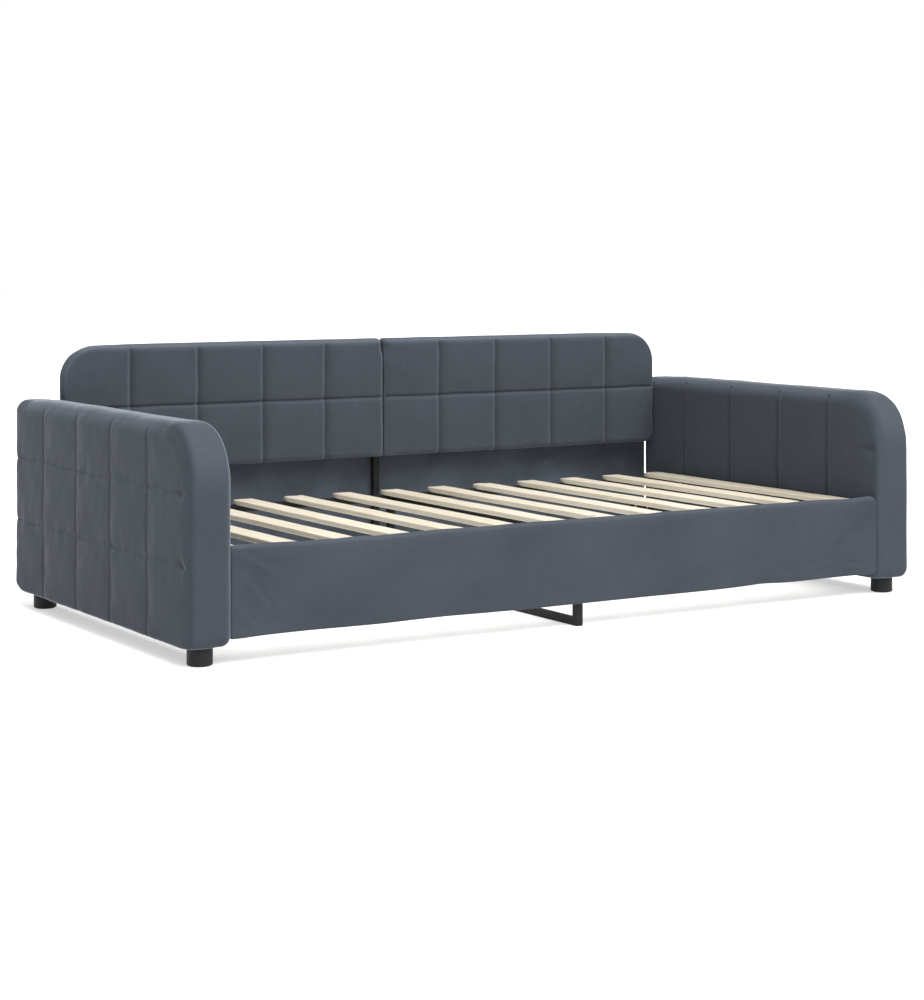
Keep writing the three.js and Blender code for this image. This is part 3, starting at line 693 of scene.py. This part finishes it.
def back_panel(side):
    """A back panel's padded cover: ten quilted squares on its front, plain behind."""
    sign = SIDES[side]
    name = f"back_panel_{side}_cover"
    low, high = box_mm(name)
    inner, outer = (low[0], high[0]) if sign > 0 else (-high[0], -low[0])
    seams = PANEL_COLUMN_SEAMS[side]
    xs = grid_lines(inner, outer, GRID_STEP, seams, PANEL_EDGE, 5)
    zs = grid_lines(low[2], high[2], GRID_STEP, (PANEL_ROW_SEAM,), PANEL_TOP_EDGE, 8)
    ys = grid_lines(low[1], high[1], GRID_STEP, (), PANEL_EDGE, 6)
    corners = [PANEL_CORNERS[k] for k in ("inner_bottom", "outer_bottom", "outer_top", "inner_top")]

    def edge(x, z, end):
        top = smooth(z, high[2] - 60, high[2] - 26) * smooth(outer - x, 90, 190)
        front_edge = PANEL_EDGE + (PANEL_JOINT_EDGE - PANEL_EDGE) * (1 - smooth(x, inner + 14, inner + 60))
        return np.where(end < 0, front_edge + (PANEL_TOP_EDGE - front_edge) * top, PANEL_BACK_EDGE)

    g = slab(xs, zs, ys, corners, edge)
    x, z = g.u, g.v
    seed = SEEDS["panel"][side]
    front = np.where(g.side < 0, 1 - smooth(g.t, 2, 14), 0)
    depth, pulls, nap_and_painted_light = np.zeros(len(x)), np.zeros(len(x)), np.zeros(len(x))
    strength = front * smooth(high[2] - z, 3, 18)
    for n, seam in enumerate(seams):
        line = seam + 0.25 * ripple(z[:, None], 130, seed + n)
        uneven = 1 + 0.07 * ripple(z[:, None], 90, seed + 10 + n)
        depth += crease(sign * (x - line), **PANEL_COLUMN) * strength * uneven
        # painted highlight before each upright seam and painted shade after it
        nap_and_painted_light += painted_seam_light(sign * (x - line)) * strength
        pulls += 0.12 * ripple(z[:, None], 30, seed + 20 + n) * np.exp(-np.abs(x - line) / 10) * strength
    line = PANEL_ROW_SEAM + 0.35 * ripple(x[:, None], 220, seed + 5)
    across = front * smooth(outer - x, 3, 16) * smooth(x - inner, 0, 8)
    depth += crease(z - line, **PANEL_ROW) * across
    # painted highlight below the row seam, and painted highlight and shade beside the joint between panels
    nap_and_painted_light += beside(z - line + 6, 5, 0.14) * across + painted_seam_light(sign * x) * front
    # painted highlights along the top and round the front rim, and a little over the whole front
    painted_top_highlight = PANEL_PAINTED_LIGHT["top"] * smooth(g.v2, high[2] - 22, high[2] - 4)
    painted_top_highlight = painted_top_highlight + PANEL_PAINTED_LIGHT["rim"] * front * (1 - smooth(g.s, 2, 9))
    nap_and_painted_light += painted_top_highlight + PANEL_PAINTED_LIGHT["face"] * front
    pulls += 0.12 * ripple(x[:, None], 30, seed + 30) * np.exp(-np.abs(z - line) / 10) * across
    pillow = PAD_HEIGHT["panel"] * front * padding(x, z, seams, (PANEL_ROW_SEAM,))
    place = np.stack([x, z], -1)
    filling = 0.4 * ripple(place, 130, seed + 40) + 0.12 * ripple(place, 45, seed + 41)
    filling *= np.where(g.side < 0, 1, 0.4)
    points = np.stack([sign * g.u2, g.w2, g.v2], -1)
    normal, quads = outward(points, g.quads)
    points += normal * (pillow + filling + pulls - depth)[:, None]
    # above the arm the padding swells outwards a little
    free = smooth(z, 545, 572) * (1 - smooth(outer - x, 0, 40))
    points[:, 0] += sign * PANEL_SWELL[side] * free
    points[:, 2] -= PANEL_DROOP * smooth(x, outer - 240, outer - 60) * smooth(z, high[2] - 90, high[2])
    piece = mesh_piece(f"velvet_back_panel_{side}", points, quads, MATERIALS["velvet"], nap_and_painted_light=nap_and_painted_light)
    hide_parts(name)


def rail_slab(low, high, corners, front_sign, step, reach):
    """A rail's grid. Its ends reach a little past the CAD solid, where the arms' edges curve away."""
    xs = grid_lines(low[0] - reach, high[0] + reach, step, (), RAIL_EDGE, 5)
    zs = grid_lines(low[2], high[2], RAIL_STEP_UP, (), RAIL_TOP_EDGE, 7)
    ys = grid_lines(low[1], high[1], RAIL_STEP_THROUGH, (), RAIL_TOP_EDGE / 2, 6)

    def edge(x, z, end):
        at_top = smooth(z, high[2] - 40, high[2] - 16) * (end == front_sign)
        return RAIL_EDGE + (RAIL_TOP_EDGE - RAIL_EDGE) * at_top * smooth(high[0] - np.abs(x), 2, 40)

    g = slab(xs, zs, ys, corners, edge)
    outside = np.where(g.side == front_sign, g.t, (high[1] - low[1]) - g.t)
    limit = high[0] + reach * (1 - smooth(outside, 3, 9)) if front_sign < 0 else high[0] + reach
    g.u2 = np.clip(g.u2, -limit, limit)
    return g


def front_rail():
    """The front rail's cover: velvet pulled over a thin pad, slack near its ends and along its edges."""
    low, high = box_mm("front_rail_cover")
    low[2] -= RAIL_HEM_DROP["front"]
    corners = (RAIL_BOTTOM_CORNER, RAIL_BOTTOM_CORNER, RAIL_TOP_CORNER, FRONT_RAIL_LEFT_CORNER)
    g = rail_slab(low, high, corners, -1, RAIL_STEP["front"], RAIL_REACH["front"])
    x, z = g.u, g.v
    front = np.where(g.side < 0, 1 - smooth(g.t, 0, 12), 0)
    place = np.stack([x * 0.45, z], -1)
    slack = 0.4 + PAD_HEIGHT["rail"] * padding(x, z, (), ())
    slack = slack + 0.5 * ripple(place, 110, 301) + 0.2 * ripple(place, 46, 302)
    # painted highlight along the top, random tone patches, and painted shade over the front face
    nap_and_painted_light = FRONT_RAIL_TONE_AND_PAINTED_LIGHT["top"] * smooth(g.v2, high[2] - 12, high[2] - 2)
    nap_and_painted_light = nap_and_painted_light + FRONT_RAIL_TONE_AND_PAINTED_LIGHT["patches"] * ripple(place, 170, 303) + FRONT_RAIL_TONE_AND_PAINTED_LIGHT["face"] * front
    for start, end, width, height in FRONT_RAIL_FOLDS:
        crest = fold(x, z, start, end, FOLD_NARROWING * width, height)
        slack += FOLD_HEIGHT * crest
        beside_crest = fold(x - 12, z - 12, start, end, width, height)
        # a painted highlight on each fold's crest and painted shade beside it
        nap_and_painted_light += FRONT_RAIL_TONE_AND_PAINTED_LIGHT["fold"] * crest - FRONT_RAIL_TONE_AND_PAINTED_LIGHT["fold"] * beside_crest
    height = front * np.clip(slack, *RAIL_SLACK["front"]) * (0.35 + 0.65 * smooth(g.s, 0, 20))
    points = np.stack([g.u2, g.w2, g.v2], -1)
    normal, quads = outward(points, g.quads)
    points += normal * height[:, None]
    # the top edge waves and rolls back a little, and the hem hangs unevenly
    top = smooth(z, high[2] - 90, high[2])
    wave = 0.8 * ripple(x[:, None], 330, 305) + 0.3 * ripple(x[:, None], 120, 306)
    wave -= 2.2 * np.exp(-((x + 640) / 170) ** 2) + 3.0 * smooth(x, 780, 900)
    bottom = 1 - smooth(z, low[2], low[2] + 60)
    hem = 0.7 * ripple(x[:, None], 420, 307) + 3.4 * np.exp(-((x - 600) / 65) ** 2)
    hem = hem + 2.2 * (1 - smooth(x, -450, 0))
    ends = smooth(high[0] - np.abs(x), 10, 90)
    points[:, 2] += top * wave * (0.4 + 0.6 * ends) + bottom * hem * ends
    over = np.clip((z - high[2] + FRONT_RAIL_ROLL["height"]) / FRONT_RAIL_ROLL["height"], 0, 1)
    points[:, 1] += FRONT_RAIL_ROLL["depth"] * front * over ** 2 * ends
    piece = mesh_piece("velvet_front_rail", points, quads, MATERIALS["velvet"], nap_and_painted_light=nap_and_painted_light)
    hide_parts("front_rail_cover")


def back_rail():
    """The lower back rail's cover: plain velvet with soft folds."""
    low, high = box_mm("back_rail_cover")
    low[2] -= RAIL_HEM_DROP["back"]
    corners = (RAIL_BOTTOM_CORNER, RAIL_BOTTOM_CORNER, RAIL_TOP_CORNER, RAIL_TOP_CORNER)
    g = rail_slab(low, high, corners, 1, RAIL_STEP["back"], RAIL_REACH["back"])
    x, z = g.u, g.v
    place = np.stack([x * 0.6, z, 60.0 * g.side], -1)
    slack = PAD_HEIGHT["rail"] * padding(x, z, (), ())
    slack = slack + 1.2 * ripple(place, 120, 401) + 0.5 * ripple(place, 50, 402)
    for start, end, width, height in BACK_RAIL_FOLDS:
        slack += fold(x, z, start, end, width, height)
    outside = g.side > 0
    # painted light: the face towards the bed made much lighter, with random tone over it; the rear a little
    nap_and_painted_light = np.where(outside, 0.05, 0.34 + 0.12 * ripple(place, 150, 405) + 0.06 * ripple(place, 60, 406))
    height = np.clip(np.where(outside, slack + 0.8, slack + 0.6), *RAIL_SLACK["back"])
    height = (1 - smooth(g.t, 0, 9)) * height * smooth(g.s, 0, 16)
    points = np.stack([g.u2, g.w2, g.v2], -1)
    normal, quads = outward(points, g.quads)
    points += normal * height[:, None]
    piece = mesh_piece("velvet_back_rail", points, quads, MATERIALS["velvet"], nap_and_painted_light=nap_and_painted_light)
    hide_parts("back_rail_cover")


# ---------------------------------------------------------------- hard pieces

def slat(number):
    """A slat with eased edges, slightly uneven as planed softwood is."""
    name = f"slat_{number:02d}"
    low, high = box_mm(name)
    xs, ys, zs = (grid_lines(low[n], high[n], SLAT_STEPS[n], (), SLAT_ROUNDING, 4) for n in range(3))
    g = slab(xs, ys, zs, (SLAT_ROUNDING,) * 4, lambda u, v, end: np.full(len(u), SLAT_ROUNDING))
    rng = np.random.default_rng(500 + number)
    points = np.stack([g.u2, g.v2, g.w2], -1)
    middle = (low[0] + high[0]) / 2
    along = g.v[:, None]
    wander = 0.5 * ripple(along, 620, 520 + number)
    width = 1 + 0.006 * ripple(along, 400, 560 + number)
    points[:, 0] = middle + (points[:, 0] - middle) * width + wander * smooth(g.v, low[1], low[1] + 120)
    points[:, 2] += np.where(g.side > 0, 0.25 * ripple(np.stack([g.u, g.v * 0.2], -1), 40, 600 + number), 0)
    points[:, 1] -= rng.uniform(0, 1.5) * (g.v > (low[1] + high[1]) / 2)
    _, quads = outward(points, g.quads)
    piece = mesh_piece(f"wood_{name}", points, quads, MATERIALS["slat_wood"])
    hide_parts(name)


def turned(profile, segments=64):
    """Points and faces of a solid turned from (radius, height) pairs, from its axis to its axis."""
    points, faces, rings = [], [], []
    for radius, height in profile:
        if radius < TINY:
            rings.append([len(points)])
            points.append((0, 0, height))
        else:
            rings.append(list(range(len(points), len(points) + segments)))
            for n in range(segments):
                a = 2 * math.pi * n / segments
                points.append((radius * math.cos(a), radius * math.sin(a), height))
    for a, b in zip(rings, rings[1:]):
        for n in range(segments):
            m = (n + 1) % segments
            if len(a) == 1:
                faces.append((a[0], b[n], b[m]))
            elif len(b) == 1:
                faces.append((a[m], a[n], b[0]))
            else:
                faces.append((a[n], b[n], b[m], a[m]))
    return np.array(points, float), faces


def foot(end, side):
    """A round plastic foot on a threaded stud, with an eased lower edge and a glide under it."""
    name = f"foot_{end}_{side}"
    low, high = box_mm(name)
    x, y = (low[0] + high[0]) / 2, (low[1] + high[1]) / 2
    radius = (high[0] - low[0]) / 2
    top, ease, rim, stud = (FOOT[key] for key in ("top", "ease", "rim", "stud"))
    glide = radius - FOOT["glide_inset"]
    profile = [(0, 0.0), (glide - 0.5, 0.0), (glide, 0.4), (glide, rim), (radius - ease, rim)]
    for n in range(1, 7):
        a = math.pi / 2 * n / 6
        profile.append((radius - ease + ease * math.sin(a), rim + ease - ease * math.cos(a)))
    profile += [(radius, top - 1.2), (radius - 0.35, top - 0.35), (radius - 1.2, top), (stud, top)]
    profile += [(stud, high[2] - 1), (stud - 1, high[2]), (0, high[2])]
    points, faces = turned(profile)
    points += (x, y, low[2])
    faces = [f[::-1] for f in faces]
    material = MATERIALS["black_plastic"]
    piece = mesh_piece(f"plastic_{name}", points, faces, material, SHARP_PLASTIC)
    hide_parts(name)


def screws(name, places):
    """Button-head screws with a socket, at (point, direction) places, as one piece."""
    radius, height = SCREW["radius"], SCREW["height"]
    socket, socket_floor = SCREW["socket_radius"] * radius, SCREW["socket_floor"] * height
    profile = [(0, 0.0), (radius, 0.0)]
    for n in range(6):
        a = math.pi / 2 * n / 6
        profile.append((socket + (radius - socket) * math.cos(a), 0.3 + (height - 0.3) * math.sin(a)))
    profile += [(socket, height), (socket, socket_floor), (0, socket_floor)]
    head, faces = turned(profile, SCREW["segments"])
    points, all_faces = [], []
    for point, direction in places:
        turn = np.array(Vector(direction).to_track_quat("Z", "Y").to_matrix())
        start = len(points) * len(head)
        points.append(head @ turn.T + np.array(point))
        all_faces += [[i + start for i in face[::-1]] for face in faces]
    mesh_piece(name, np.concatenate(points), all_faces, MATERIALS["zinc"], SHARP_STEEL)


def angle_places(node, toward):
    """Screw places on both legs of a steel angle, which turns its open side to +Y or -Y."""
    low, high = box_mm(node)
    inward = -1 if low[0] > 0 else 1
    wall = high[0] if inward < 0 else low[0]
    y = low[1] if toward > 0 else high[1]
    leg_end = low[0] if inward < 0 else high[0]
    heights = (low[2] + 0.2 * (high[2] - low[2]), low[2] + 0.8 * (high[2] - low[2]))
    across = leg_end - inward * ANGLE_SCREW_FROM_END
    flat = [((across, y + toward * STEEL, z), (0, toward, 0)) for z in heights]
    middle = (low[1] + high[1]) / 2 + toward * STEEL / 2
    return flat + [((wall + inward * STEEL, middle, z), (inward, 0, 0)) for z in heights]


def all_screws():
    """The small screws of the angles and of the plates that join the panels."""
    for kind, toward in (("panel", 1), ("front_rail", 1), ("back_rail", -1)):
        for side in SIDES:
            screws(f"screws_{kind}_{side}", angle_places(f"{kind}_angle_{side}", toward))
    low, high = box_mm("back_post")
    face = box_mm("back_panel_left_cover")[1][1] + GAP + PLATE_DEPTH
    heights = [z + k * PLATE_SCREWS["from_middle"] for z in PLATE_MIDDLES for k in (-1, 1)]
    across = (low[0] + PLATE_SCREWS["from_edge"], high[0] - PLATE_SCREWS["from_edge"])
    screws("screws_joining_plates", [((x, face, z), (0, 1, 0)) for x in across for z in heights])


# ---------------------------------------------------------------- stage

def camera_and_light():
    """The camera, a white sky, one soft sun from the front left, and the floor."""
    scene = bpy.context.scene
    camera = bpy.data.objects.new("camera", bpy.data.cameras.new("camera"))
    camera.data.lens = CAMERA["lens"]
    camera.data.sensor_width = CAMERA["sensor"]
    camera.data.shift_y = CAMERA["shift_up"]
    camera.location = CAMERA["place"]
    camera.rotation_euler = (math.radians(90), 0, -math.radians(CAMERA["turn"]))
    scene.collection.objects.link(camera)
    scene.camera = camera
    world = bpy.data.worlds.new("studio")
    world.use_nodes = True
    background = world.node_tree.nodes["Background"]
    background.inputs["Color"].default_value = (1, 1, 1, 1)
    background.inputs["Strength"].default_value = SKY_STRENGTH
    scene.world = world
    lamp = bpy.data.lights.new("key", "SUN")
    lamp.energy = SUN["strength"]
    lamp.angle = math.radians(SUN["angle"])
    light = bpy.data.objects.new("key", lamp)
    light.rotation_euler = Vector(SUN["towards"]).to_track_quat("-Z", "Y").to_euler()
    scene.collection.objects.link(light)
    scene.view_settings.view_transform = "Standard"
    corners = [(x * FLOOR_REACH, y * FLOOR_REACH, 0) for x, y in ((-1, -1), (1, -1), (1, 1), (-1, 1))]
    mesh = bpy.data.meshes.new("floor")
    mesh.from_pydata(corners, [], [(0, 1, 2, 3)])
    mesh.materials.append(floor_material())
    floor = bpy.data.objects.new("floor", mesh)
    scene.collection.objects.link(floor)


camera_and_light()
dress_cad_nodes()
for which in SIDES:
    arm(which)
    back_panel(which)
    for where in ("front", "back"):
        foot(where, which)
front_rail()
back_rail()
for index in range(1, SLAT_COUNT + 1):
    slat(index)
all_screws()
